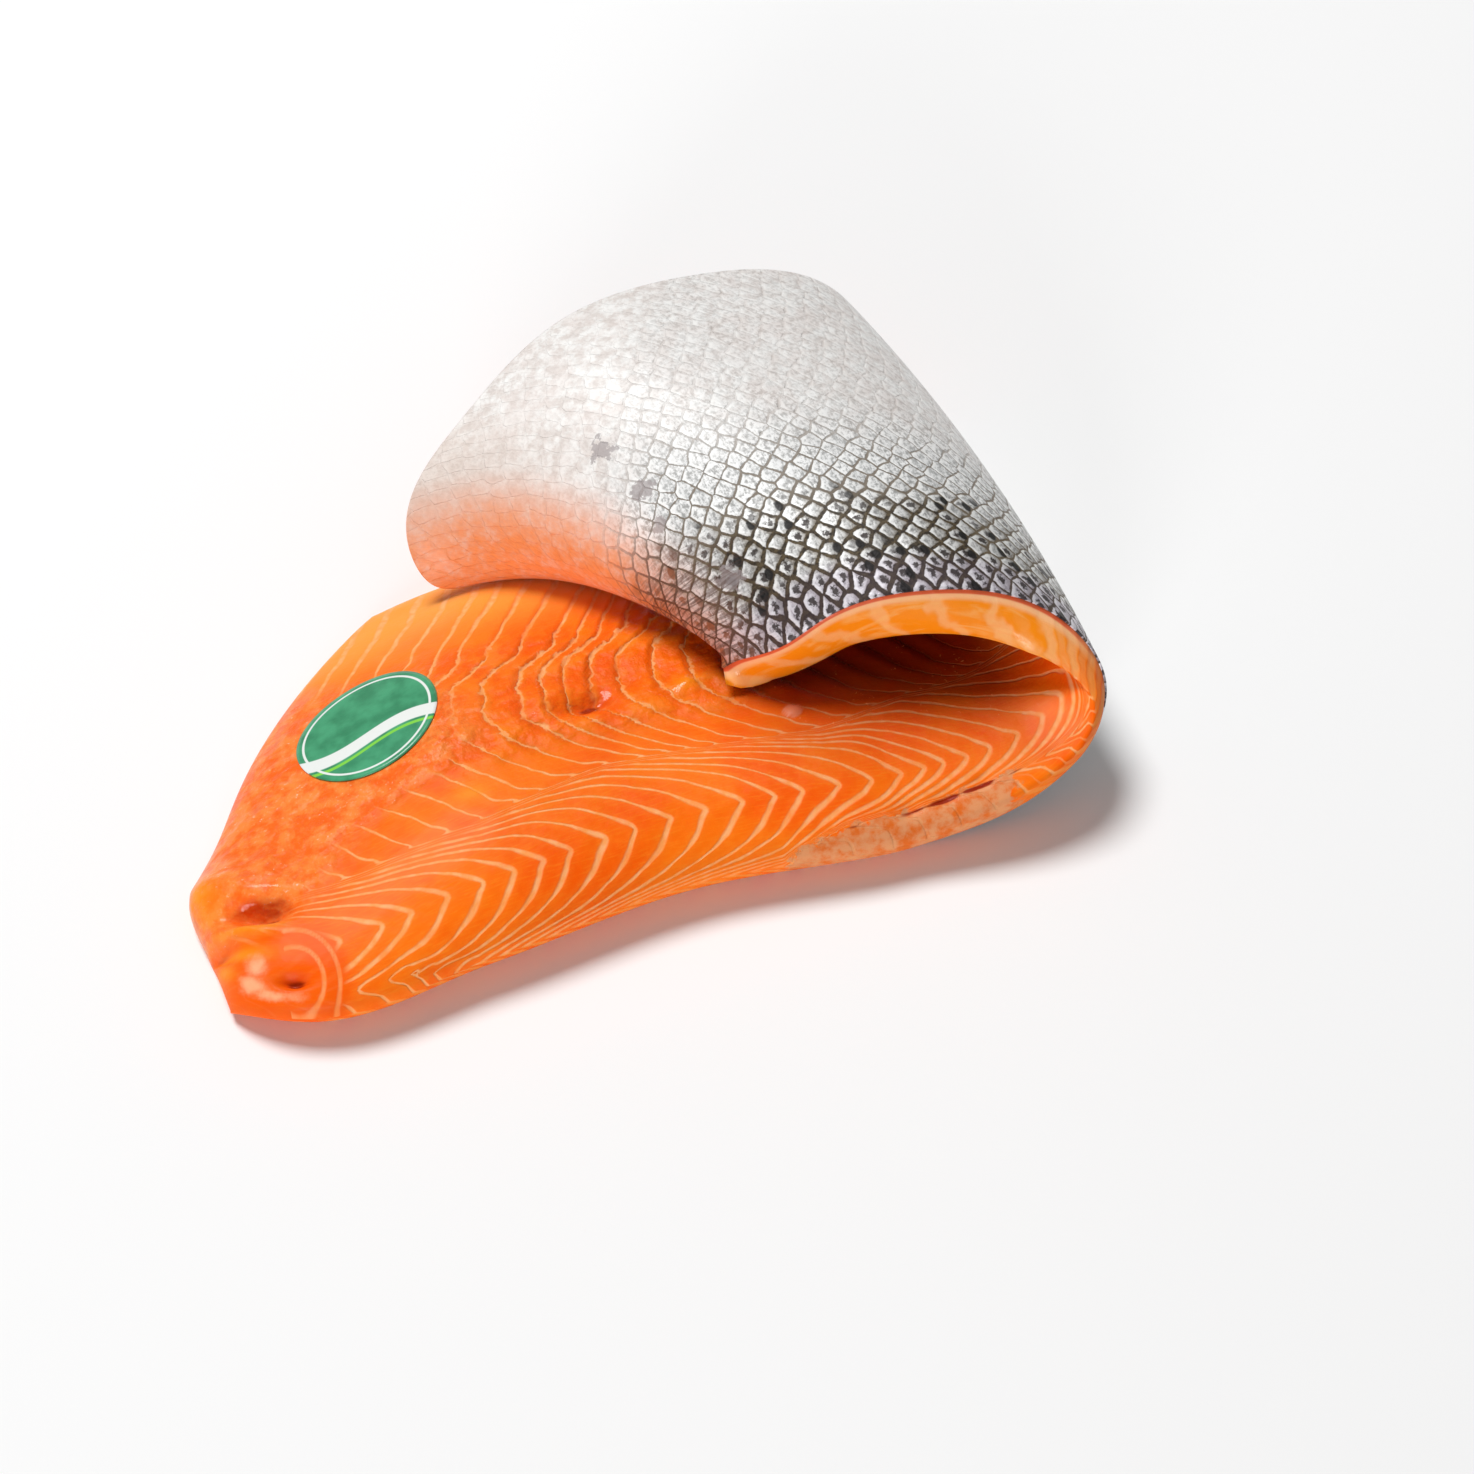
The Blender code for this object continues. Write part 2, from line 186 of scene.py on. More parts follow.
# The smooth sheets' grid, and the meshes' steps as pairs of place and step
GRID = (1201, 241)
SMOOTH_STEPS = 24
FLESH_ROWS = ((0, 0.0008), (0.030, 0.00085), (0.290, 0.00085), (0.300, 0.0022), (0.60, 0.0022))
SKIN_ROWS = ((0, 0.0040), (0.250, 0.0030), (0.275, 0.0011), (0.60, 0.0011))
FLESH_COLUMNS = ((0, 0.0044), (0.24, 0.0050), (0.30, 0.0088), (1, 0.0088))
SKIN_COLUMNS = ((0, 0.0062), (1, 0.0062))

# The meshes' walls. The cut side counts as shares from 0 down to -WALL_SHARE
WALL_LEVELS = 14
WALL_SHARE = 0.15
WALL_BULGE = 0.0018
BACK_STEP = 8
SKIN_THICK = 0.0009
FLESH_FOOT = SKIN_THICK * 0.8
AWAY_FROM_EDGE = 0.05

# Scales: their pitch along the fillet and across it
SCALE_ALONG = 0.0079
SCALE_ACROSS = 0.0137

# The sticker: its middle as distance from the head end and share, then its sizes
LABEL_AT = (0.063, 0.535)
LABEL_RADIUS = 0.026
LABEL_LIFT = 0.0002
LABEL_THICK = 0.0005
LABEL_RINGS = 20
LABEL_SIDES = 96

# The floor, each lamp's place, aim, size and power, the world's strength, and the camera
FLOOR_HALF = 6.0
LAMPS = {
    "window above": ((-0.7, 1.9, 3.8), (0, 0.02, 0.04), 1.8, 165),
    "front fill": ((-1.3, -2.3, 0.50), (0, 0, 0.03), 1.0, 36),
}
AMBIENT = 0.18
CAMERA_AT = (-0.11297, -0.57367, 0.64568)
CAMERA_TURN = (41.0982, 1.1568, -16.8744)
CAMERA_LENS = 61.058


def ease(low, high, value):
    """0 below low, 1 above high, and smooth between."""
    part = np.clip((value - low) / (high - low), 0, 1)
    return part * part * (3 - 2 * part)


def quarter(value):
    """The height of a quarter circle that starts upright at 0 and is level from 1 on."""
    return np.sqrt(1 - (1 - np.clip(value, 0, 1)) ** 2)


def unit(vectors):
    return vectors / np.maximum(np.linalg.norm(vectors, axis=-1, keepdims=True), 1e-12)


def blur(table, reach):
    """The table blurred down its rows, by that reach as a share of all the rows."""
    width = reach * len(table)
    count = math.ceil(3 * width)
    weight = np.exp(-(np.arange(-count, count + 1) / width) ** 2 / 2)
    padded = np.pad(table, ((count, count), (0, 0)), mode="reflect", reflect_type="odd")
    rows = [np.convolve(column, weight / weight.sum(), mode="valid") for column in padded.T]
    return np.maximum(np.array(rows).T, 0)


def across(shares):
    """Each station at those shares of the width, on the curve through its three places."""
    dorsal, middle, belly = np.moveaxis(np.array(list(STATIONS.values()), float), 1, 0)
    share = np.asarray(shares)[:, None, None]
    return (dorsal * (1 - share) * (1 - 2 * share) + middle * 4 * share * (1 - share)
            + belly * share * (2 * share - 1))


def along(points):
    """Dense points on smooth curves through the stations, shaped (curve, point, value)."""
    gap = np.linalg.norm(np.diff(points[..., :3], axis=1), axis=-1)
    slope = np.diff(points, axis=1) / gap[..., None]
    count = points.shape[1]
    system = np.zeros((len(points), count, count))
    wanted = np.zeros_like(points)
    foot = list(STATIONS).index("foot")
    for i in range(count):
        if i == 0 or i == count - 1:
            system[:, i, i] = 1
            wanted[:, i] = slope[:, min(i, count - 2)]
            continue
        before, after = gap[:, i - 1, None], gap[:, i, None]
        mean = slope[:, i - 1] * after + slope[:, i] * before
        system[:, i, i] = gap[:, i - 1] + gap[:, i]
        wanted[:, i] = mean
        if i > foot:
            system[:, i, i] *= 2
            system[:, i, i - 1] = gap[:, i]
            system[:, i, i + 1] = gap[:, i - 1]
            wanted[:, i] *= 3
    tangent = np.linalg.solve(system, wanted)
    gap = gap[..., None]
    x = (np.arange(SMOOTH_STEPS) / SMOOTH_STEPS)[None, None, :, None]
    start, end = points[:, :-1, None], points[:, 1:, None]
    leave, arrive = (tangent[:, :-1] * gap)[:, :, None], (tangent[:, 1:] * gap)[:, :, None]
    curve = (start * (2 * x ** 3 - 3 * x ** 2 + 1) + leave * (x ** 3 - 2 * x ** 2 + x)
             + end * (3 * x ** 2 - 2 * x ** 3) + arrive * (x ** 3 - x ** 2))
    curve = curve.reshape(len(points), -1, points.shape[-1])
    return np.concatenate([curve, points[:, -1:]], axis=1)


class Fillet:
    """The skin as a smooth sheet, with the flesh's height, read at any run and share.

    A run goes from 0 at the head end to 1 at the tail end, and a share from 0 at the dorsal
    edge to 1 at the belly edge.
    """

    def __init__(self):
        self.runs, self.shares = (np.linspace(0, 1, count) for count in GRID)
        curves = along(across(self.shares))
        curves[..., 2] = np.maximum(curves[..., 2], 0)
        steps = np.linalg.norm(np.diff(curves[..., :3], axis=1), axis=-1)
        ways = np.concatenate([np.zeros((len(curves), 1)), np.cumsum(steps, axis=1)], axis=1)
        table = [[np.interp(self.runs * way[-1], way, curve[:, axis]) for axis in range(4)]
                 for curve, way in zip(curves, ways)]
        table = np.moveaxis(np.array(table), 0, -1)
        skin = np.moveaxis(table[:3], 0, -1)
        self.length = ways[:, -1]
        skin[..., 2] = blur(skin[..., 2], HEIGHT_BLEND / self.length.mean())
        forward = unit(np.gradient(skin, axis=0))
        normal = unit(np.cross(forward, np.gradient(skin, axis=1)))
        to_belly = unit(np.cross(normal, forward))
        start = skin[0, :, 0] + self.runs[:, None] * self.length
        aside = np.linalg.norm(np.diff(skin, axis=1), axis=-1)
        inward = np.concatenate([np.zeros((len(skin), 1)), np.cumsum(aside, axis=1)], axis=1)
        self.layers = np.concatenate(
            [skin, normal, to_belly, table[3][..., None], start[..., None], inward[..., None]],
            axis=-1)

    def read(self, run, share):
        """The smooth grid's values at any runs and shares."""
        x, y = run * (GRID[0] - 1), share * (GRID[1] - 1)
        i = np.clip(np.floor(x).astype(int), 0, GRID[0] - 2)
        j = np.clip(np.floor(y).astype(int), 0, GRID[1] - 2)
        a, b = (x - i)[..., None], (y - j)[..., None]
        low = self.layers[i, j] * (1 - a) + self.layers[i + 1, j] * a
        high = self.layers[i, j + 1] * (1 - a) + self.layers[i + 1, j + 1] * a
        return low * (1 - b) + high * b

    def skin(self, run, share, depth=0):
        """The skin's outer face, or a face that lies that deep inside it."""
        values = self.read(run, share)
        return values[..., :3] + values[..., 3:6] * np.asarray(depth)[..., None]

    def flesh(self, run, share):
        """The flesh's surface: its height over the skin, its swollen edge and its relief."""
        values = self.read(run, share)
        skin, normal, to_belly = values[..., :3], values[..., 3:6], values[..., 6:9]
        height, station = values[..., 9], values[..., 10]
        length = np.interp(share, self.shares, self.length)
        face = DORSAL_FACE[0] + (DORSAL_FACE[1] - DORSAL_FACE[0]) * ease(*FOLD_RUN, station)
        from_head = quarter(run * length / HEAD_ROUND)
        rounded = (face + (1 - face) * quarter(share / DORSAL_ROUND)) \
            * (BELLY_FACE + (1 - BELLY_FACE) * quarter((1 - share) / BELLY_ROUND)) \
            * (HEAD_FACE + (1 - HEAD_FACE) * from_head) \
            * (TAIL_FACE + (1 - TAIL_FACE) * quarter((1 - run) * length / TAIL_ROUND))
        swell = DORSAL_SWELL * (1 - ease(0, SWELL_SHARE, share)) \
            * np.minimum(1, height / FULL_SWELL) * (SWELL_CORNER + (1 - SWELL_CORNER) * from_head)
        lobe = np.exp(-((share - HEAD_LOBE[0]) / HEAD_LOBE[1]) ** 2)
        ahead = HEAD_SWELL * lobe * (1 - ease(0, HEAD_ROUND, run * length))
        rise = height * rounded + relief(share, station)
        rise = (rise + np.sqrt(rise ** 2 + 4 * THIN_FLESH ** 2)) / 2
        forward = np.cross(to_belly, normal)
        return (skin + normal * rise[..., None] - to_belly * swell[..., None]
                - forward * ahead[..., None])


def line_back(share):
    """How far a line lies before its tip at a share: smooth, and sharp at tips and seams."""
    step = 0.00025
    fine = np.arange(-0.3, 1.05, step)
    back = np.interp(fine, list(LINE_BACK), list(LINE_BACK.values()))

    def smooth(width):
        count = math.ceil(3 * width / step)
        weight = np.exp(-(np.arange(-count, count + 1) * step / width) ** 2 / 2)
        return np.convolve(np.pad(back, count, mode="edge"), weight / weight.sum(), "valid")

    sharp = np.exp(-((fine - TIP_SHARE) / 0.010) ** 2) + 1 - ease(0.035, 0.06, fine) \
        + np.exp(-((fine - SEAM_SHARE) / 0.012) ** 2)
    sharp = np.minimum(sharp, 1)
    return np.interp(share, fine, smooth(0.012) * (1 - sharp) + smooth(0.0012) * sharp)


def line_number(station, share):
    """The running number of the lines between the muscles: whole numbers lie on a line."""
    place = station * 1000
    seam = np.interp(place, list(MIDDLE_SEAM), list(MIDDLE_SEAM.values()))
    edge = edge_seam(station)
    moved = share + (SEAM_SHARE - seam) * np.exp(-((share - seam) / 0.05) ** 2) \
        + (EDGE_SHARE - edge) * (1 - ease(0.03, 0.09, share))
    ahead = HEAD_TURN * (1 - ease(0.030, 0.125, station)) * (1 - ease(0.0165, 0.0225, moved))
    return np.interp(place - line_back(moved) - ahead, list(TIPS.values()), list(TIPS))


def edge_seam(station):
    return np.interp(station * 1000, list(EDGE_SEAM), list(EDGE_SEAM.values()))


def patches(spots, station, share):
    """1 in the middle of each soft patch, falling to 0 around it."""
    found = [np.exp(-((station - at) / half_long) ** 2 - ((share - wide) / half_wide) ** 2)
             for at, wide, half_long, half_wide in spots]
    return np.max(found, axis=0)


def relief(share, station):
    """Hollows, lumps and flakes, as heights over the smooth flesh."""
    total = np.zeros_like(station)
    for at, width_at, half_long, half_wide, height in MARKS.values():
        reach = ((station - at) / half_long) ** 2 + ((share - width_at) / half_wide) ** 2
        total += height * np.exp(-reach)
    drop = np.maximum(patches(DROPS, station, share) - DROP_EDGE, 0) / (1 - DROP_EDGE)
    total += DROP_HEIGHT * np.sqrt(drop)
    shown = ease(0.085, 0.125, station) * (1 - ease(0.25, 0.29, station)) \
        * ease(0.24, 0.34, share) * (1 - ease(0.75, 0.90, share))
    phase = line_number(station, share) % 1
    step = phase * (1 - ease(FLAKE_FALL, 1, phase))
    return total - FLAKE_STEP * shown * (1 - step)


def rows_to(length, table):
    """Row places from 0 to a length, with steps that follow a table of place and step."""
    places, steps = zip(*table)
    row = [0.0]
    while row[-1] < length:
        row.append(row[-1] + float(np.interp(row[-1], places, steps)))
    row = np.array(row)
    return row / row[-1]


class Grid:
    """A closed mesh of a fine front grid, walls round its border and a coarse back grid."""

    def __init__(self, front, walls, back):
        """front is (rows, columns, 3), walls (levels, border, 3) and back (rows, columns, 3).

        The last wall level is the back grid's border. The back is used at every BACK_STEP.
        """
        rows, columns = front.shape[:2]
        self.border = border_of(rows, columns)
        self.back_rows = spaced(rows)
        self.back_columns = spaced(columns)
        inner = [(i, j) for i in self.back_rows[1:-1] for j in self.back_columns[1:-1]]
        back_points = np.array([back[i, j] for i, j in inner])
        self.points = np.concatenate([front.reshape(-1, 3), walls.reshape(-1, 3), back_points])
        self.front = rows * columns
        index = np.arange(rows * columns).reshape(rows, columns)
        quads = [np.stack([index[:-1, :-1], index[1:, :-1], index[1:, 1:], index[:-1, 1:]],
                          axis=-1).reshape(-1, 4)]
        ring = np.array([i * columns + j for i, j in self.border])
        for level in range(len(walls)):
            lower = self.front + level * len(ring) + np.arange(len(ring))
            quads.append(np.stack([ring, lower, np.roll(lower, -1), np.roll(ring, -1)], axis=-1))
            ring = lower
        self.faces = [tuple(face) for face in np.concatenate(quads)]
        self.add_back(dict(zip(self.border, ring)),
                      {place: self.front + walls.shape[0] * walls.shape[1] + number
                       for number, place in enumerate(inner)})

    def add_back(self, rim, inner):
        """Coarse faces across the back, whose outer edges take in every point of the rim."""
        place = {**inner, **rim}
        for top, bottom in zip(self.back_rows, self.back_rows[1:]):
            for left, right in zip(self.back_columns, self.back_columns[1:]):
                loop = walk(top, left, top, right) + walk(top, right, bottom, right) \
                    + walk(bottom, right, bottom, left) + walk(bottom, left, top, left)
                corners = {(top, left), (top, right), (bottom, left), (bottom, right)}
                face = [int(place[spot]) for spot in loop if spot in rim or spot in corners]
                self.faces.append(tuple(face))


def border_of(rows, columns):
    """The border of a grid as (row, column) places, in order round it."""
    return ([(i, 0) for i in range(rows - 1)] + [(rows - 1, j) for j in range(columns - 1)]
            + [(i, columns - 1) for i in range(rows - 1, 0, -1)]
            + [(0, j) for j in range(columns - 1, 0, -1)])


def spaced(count):
    steps = list(range(0, count - BACK_STEP // 2, BACK_STEP))
    return steps + [count - 1]


def walk(row, column, end_row, end_column):
    """Places from one corner to the next along a row or a column, without the last."""
    if row == end_row:
        way = 1 if end_column > column else -1
        return [(row, j) for j in range(column, end_column, way)]
    way = 1 if end_row > row else -1
    return [(i, column) for i in range(row, end_row, way)]


def add_piece(name, points, faces, values, finish, node):
    """One closed piece with its values stored at its points."""
    mesh = bpy.data.meshes.new(name)
    mesh.from_pydata((points - (*MIDDLE, 0)).tolist(), [], faces)
    mesh.validate()
    mesh.shade_smooth()
    for key, value in values.items():
        layer = mesh.attributes.new(key, "FLOAT", "POINT")
        layer.data.foreach_set("value", np.ascontiguousarray(value, dtype=np.float32))
    mesh.materials.append(finish)
    piece = bpy.data.objects.new(name, mesh)
    bpy.context.scene.collection.objects.link(piece)
    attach(piece, "root")
    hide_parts(node)


class Value:
    """One output of a shader node. Maths on it adds Math nodes."""

    def __init__(self, finish, socket):
        self.finish = finish
        self.socket = socket

    def maths(self, operation, *others):
        return self.finish.node("Math", {"operation": operation},
                                dict(enumerate((self, *others))))

    def __add__(self, other):
        return self.maths("ADD", other)

    def __sub__(self, other):
        return self.maths("SUBTRACT", other)

    def __mul__(self, other):
        return self.maths("MULTIPLY", other)

    def __pow__(self, other):
        return self.maths("POWER", other)

    def __abs__(self):
        return self.maths("ABSOLUTE")

    def __mod__(self, other):
        return self.maths("FLOORED_MODULO", other)

    def __rsub__(self, other):
        return self.finish.node("Math", {"operation": "SUBTRACT"}, {0: other, 1: self})

    __radd__ = __add__
    __rmul__ = __mul__

    def between(self, low, high):
        """0 below low, 1 above high, and smooth between. Low may be the greater."""
        return self.finish.node("MapRange", {"interpolation_type": "SMOOTHSTEP"},
                                {"Value": self, "From Min": low, "From Max": high})

    def most(self, other):
        return self.maths("MAXIMUM", other)

    def least(self, other):
        return self.maths("MINIMUM", other)


class Finish:
    """A material in the making, by shader nodes."""

    def __init__(self, name):
        self.material = bpy.data.materials.new(name)
        self.material.use_nodes = True
        self.tree = self.material.node_tree
        self.tree.nodes.clear()

    def node(self, kind, settings=None, sockets=None, output=0):
        node = self.tree.nodes.new("ShaderNode" + kind)
        for key, value in (settings or {}).items():
            setattr(node, key, value)
        for key, value in (sockets or {}).items():
            if isinstance(value, Value):
                self.tree.links.new(value.socket, node.inputs[key])
            else:
                node.inputs[key].default_value = value
        return Value(self, node.outputs[output]) if len(node.outputs) else None

    def stored(self, key):
        return self.node("Attribute", {"attribute_name": key}, output="Fac")

    def place(self):
        return self.node("TexCoord", output="Object")

    def vector(self, x, y):
        return self.node("CombineXYZ", sockets={"X": x, "Y": y})

    def noise(self, where, scale, detail=2.0, roughness=0.5, warp=0.0):
        return self.node("TexNoise", {"noise_dimensions": "3D"},
                         {"Vector": where, "Scale": scale, "Detail": detail,
                          "Roughness": roughness, "Distortion": warp})

    def mix(self, share, first, second, blend="MIX"):
        return self.node("Mix", {"data_type": "RGBA", "blend_type": blend},
                         {0: share, 6: first, 7: second}, output=2)

    def split(self, value, number):
        """One part of a vector or a colour."""
        return self.node("SeparateXYZ", sockets={"Vector": value}, output=number)

    def bump(self, height, distance, normal=None):
        sockets = {"Height": height, "Distance": distance, "Strength": 1.0}
        if normal is not None:
            sockets["Normal"] = normal
        return self.node("Bump", sockets=sockets)

    def surface(self, **sockets):
        shader = self.node("BsdfPrincipled",
                           sockets={key.replace("_", " "): value
                                    for key, value in sockets.items()})
        self.node("OutputMaterial", sockets={"Surface": shader})
        return self.material


def paint(red, green, blue):
    """A colour from its display values of 0 to 255."""
    part = np.array([red, green, blue]) / 255
    linear = np.where(part <= 0.04045, part / 12.92, ((part + 0.055) / 1.055) ** 2.4)
    return (*(float(value) for value in linear), 1.0)


def flesh_finish():
    """Wet raw salmon: orange muscle, pale lines between the muscles, fat and membrane."""
    flesh = Finish("salmon flesh")
    number, spacing = flesh.stored("line number"), flesh.stored("line spacing")
    station, inward, under = flesh.stored("station"), flesh.stored("inward"), flesh.stored("under")
    bare, membrane, fat = flesh.stored("bare"), flesh.stored("membrane"), flesh.stored("fat")
    cut, band, ragged = flesh.stored("cut"), flesh.stored("band"), flesh.stored("ragged")
    pale, between, slit = flesh.stored("pale"), flesh.stored("between"), flesh.stored("slit")
    ring, yellow, peach = flesh.stored("ring"), flesh.stored("yellow"), flesh.stored("peach")
    hole, drop, tip = flesh.stored("hole"), flesh.stored("drop"), flesh.stored("tip")
    # deep: where painted shade darkens the inside of the fold
    deep = flesh.stored("deep")
    place = flesh.place()
    flat = flesh.vector(station, inward)

    # Noises, and how far a point lies from the nearest line
    tone = flesh.noise(place, 38.0, 3.0)
    lumps = flesh.noise(place, 100.0, 2.0, 0.45)
    wobble = flesh.noise(flat, 90.0, 2.0) - 0.5
    jag = flesh.noise(place, 125.0, 3.0, 0.55) - 0.5
    clots = flesh.noise(place, 230.0, 3.0, 0.6)
    film = flesh.noise(place, 130.0, 4.0, 0.66)
    grains = flesh.noise(place, 700.0, 3.0, 0.6)
    fibres = flesh.noise(flesh.vector(station * 170.0, inward * 1700.0), 1.0, 2.0, 0.6)
    shifted = number + wobble * (0.30 + band * 0.6) + jag * (0.06 + ragged * 0.62 + deep * 0.25)
    away = abs((shifted + 0.5) % 1 - 0.5) * spacing
    phase = shifted % 1
    half_away = abs(phase - 0.5) * spacing

    # The lines' widths and strengths
    width = flesh.noise(flat, 42.0, 1.0) * 0.0005 + 0.00014 + cut * 0.0010 + pale * 0.0008 \
        + tip * 0.00042 + clots.between(0.45, 0.75) * ragged * 0.0012 + band * 0.0006
    width = width.least(spacing * 0.24)
    line = away.between(width * 1.6, width * 0.4)
    line = line.most(half_away.between(width * 1.3, width * 0.3) * between * 0.55)
    line = line * (1 - bare * 0.94) * (1 - ragged * tone.between(0.46, 0.34) * 0.75)
    line = line.most(ring.between(0.0009, 0.0002) * 0.6 * under.between(0.006, 0.014))
    strength = flesh.noise(place, 150.0, 2.0).between(0.20, 0.55) * 0.30 + 0.66
    line = line * strength * (1 - band * 0.35) * (spacing.between(0.0006, 0.0024) * 0.7 + 0.3)
    glow = away.between(0.0034, 0.0004) * 0.14 * (1 - bare)

    # Muscle, ragged where it gapes, under its membrane at the head end
    muscle = flesh.mix(tone.between(0.35, 0.65), paint(250, 94, 2), paint(255, 116, 8))
    muscle = flesh.mix(fibres.between(0.45, 0.75) * 0.30, muscle, paint(255, 146, 34))
    muscle = flesh.mix(pale * 0.80, muscle, paint(255, 172, 76))
    # Painted shadow on the cliff side of each gaping flake's step, and painted light just past each
    # line
    muscle = flesh.mix(ragged * phase.between(0.70, 0.92) * 0.55, muscle, paint(222, 78, 4))
    muscle = flesh.mix(ragged * phase.between(0.24, 0.06) * 0.40, muscle, paint(255, 142, 40))
    muscle = flesh.mix(ragged * lumps.between(0.52, 0.36) * 0.50, muscle, paint(238, 84, 2))
    muscle = flesh.mix(ragged * lumps.between(0.55, 0.70) * 0.40, muscle, paint(255, 140, 34))
    muscle = flesh.mix(band * 0.9, muscle, paint(255, 148, 20))
    red = flesh.mix(film.between(0.38, 0.62), paint(250, 104, 28), paint(255, 142, 64))
    red = flesh.mix(grains.between(0.52, 0.72) * film.between(0.44, 0.58) * 0.6, red,
                    paint(255, 176, 120))
    # Painted glints of light on the membrane
    red = flesh.mix(grains.between(0.64, 0.74) * lumps.between(0.48, 0.60), red,
                    paint(255, 226, 200))
    muscle = flesh.mix(membrane * 0.85, muscle, red)
    muscle = flesh.mix(ragged * clots.between(0.5, 0.75) * 0.30, muscle, paint(255, 150, 66))
    muscle = flesh.mix((bare - membrane) * 0.60, muscle, paint(242, 90, 0))
    muscle = flesh.mix(glow, muscle, paint(255, 152, 56))

    # Fatty lines, and the pale swirls of the flap's band
    fatty = flesh.mix(flesh.noise(flat, 300.0, 2.0).between(0.3, 0.7),
                      paint(255, 164, 90), paint(255, 184, 124))
    fatty = flesh.mix(cut * 0.8, fatty, paint(246, 138, 42))
    fatty = flesh.mix(band, fatty, paint(255, 190, 128))
    colour = flesh.mix(line * 0.92, muscle, fatty)
    swirl = flesh.noise(flesh.vector(station * 40.0, under * 160.0), 1.0, 3.0, 0.55, 1.2)
    colour = flesh.mix(band * swirl.between(0.48, 0.70) * 0.60, colour, paint(255, 190, 112))

    # The strip of fat, the edges at the skin, soft patches, holes and gaps
    white = flesh.mix(flesh.noise(place, 220.0, 4.0, 0.6).between(0.38, 0.68),
                      paint(226, 156, 106), paint(224, 108, 34))
    strip = (fat + clots * 0.006 - 0.003).between(-0.0002, 0.0006)
    colour = flesh.mix(strip * 0.92, colour, white)
    skirt = under.between(0.0030, 0.0008) * flesh.noise(place, 120.0, 3.0).between(0.35, 0.6)
    colour = flesh.mix(skirt * (1 - band) * 0.25, colour, paint(232, 140, 70))
    colour = flesh.mix(band * under.between(0.0036, 0.0018) * 0.8, colour, paint(255, 196, 146))
    colour = flesh.mix(band * under.between(0.0014, 0.0008) * 0.9, colour, paint(226, 84, 46))
    colour = flesh.mix(yellow * 0.8, colour, paint(255, 146, 26))
    crescent = (peach + (film - 0.5) * 1.3).between(0.25, 1.05) * 0.85
    colour = flesh.mix(crescent * peach.between(0.03, 0.25), colour, paint(250, 182, 136))
    colour = flesh.mix(drop * 0.75, colour, paint(255, 168, 128))
    # Painted shade in the hollows
    colour = flesh.mix(hole * 0.75, colour, paint(214, 70, 8))
    colour = flesh.mix(hole.between(0.55, 0.85) * 0.85, colour, paint(150, 38, 4))
    colour = flesh.mix((slit + jag * 0.001).between(0.0, 0.0006), colour, paint(150, 36, 0))

    # Painted shade inside the fold: the colour multiplied darker and redder there
    colour = flesh.mix(deep * 0.95, colour, paint(132, 56, 24), "MULTIPLY")
    # Painted glints on the shaded inside of the fold
    glints = grains.between(0.63, 0.72) * lumps.between(0.50, 0.60)
    colour = flesh.mix(deep * glints * 0.7, colour, paint(240, 150, 96))

    # Fine relief over soft swells, and where the flesh is wettest
    height = fibres * 0.10 - line * 0.30 + grains * 0.15 + film * (membrane * 0.9 + 0.25) \
        + clots * ragged
    swells = flesh.bump(lumps * (ragged + membrane * 1.2 + 0.25), 0.0024)
    normal = flesh.bump(height, 0.0007, normal=swells)
    rough = 0.46 - membrane * 0.14 - ragged * 0.10 - band * 0.14 + line * 0.08
    wet = membrane * 0.22 + band * 0.14 + ragged * 0.26 + 0.02
    return flesh.surface(Base_Color=colour, Roughness=rough, Specular_IOR_Level=0.09,
                         Subsurface_Weight=0.14, Subsurface_Radius=(0.0035, 0.0013, 0.0004),
                         Subsurface_Scale=1.0, Coat_Weight=wet, Coat_Roughness=0.08,
                         Normal=normal)


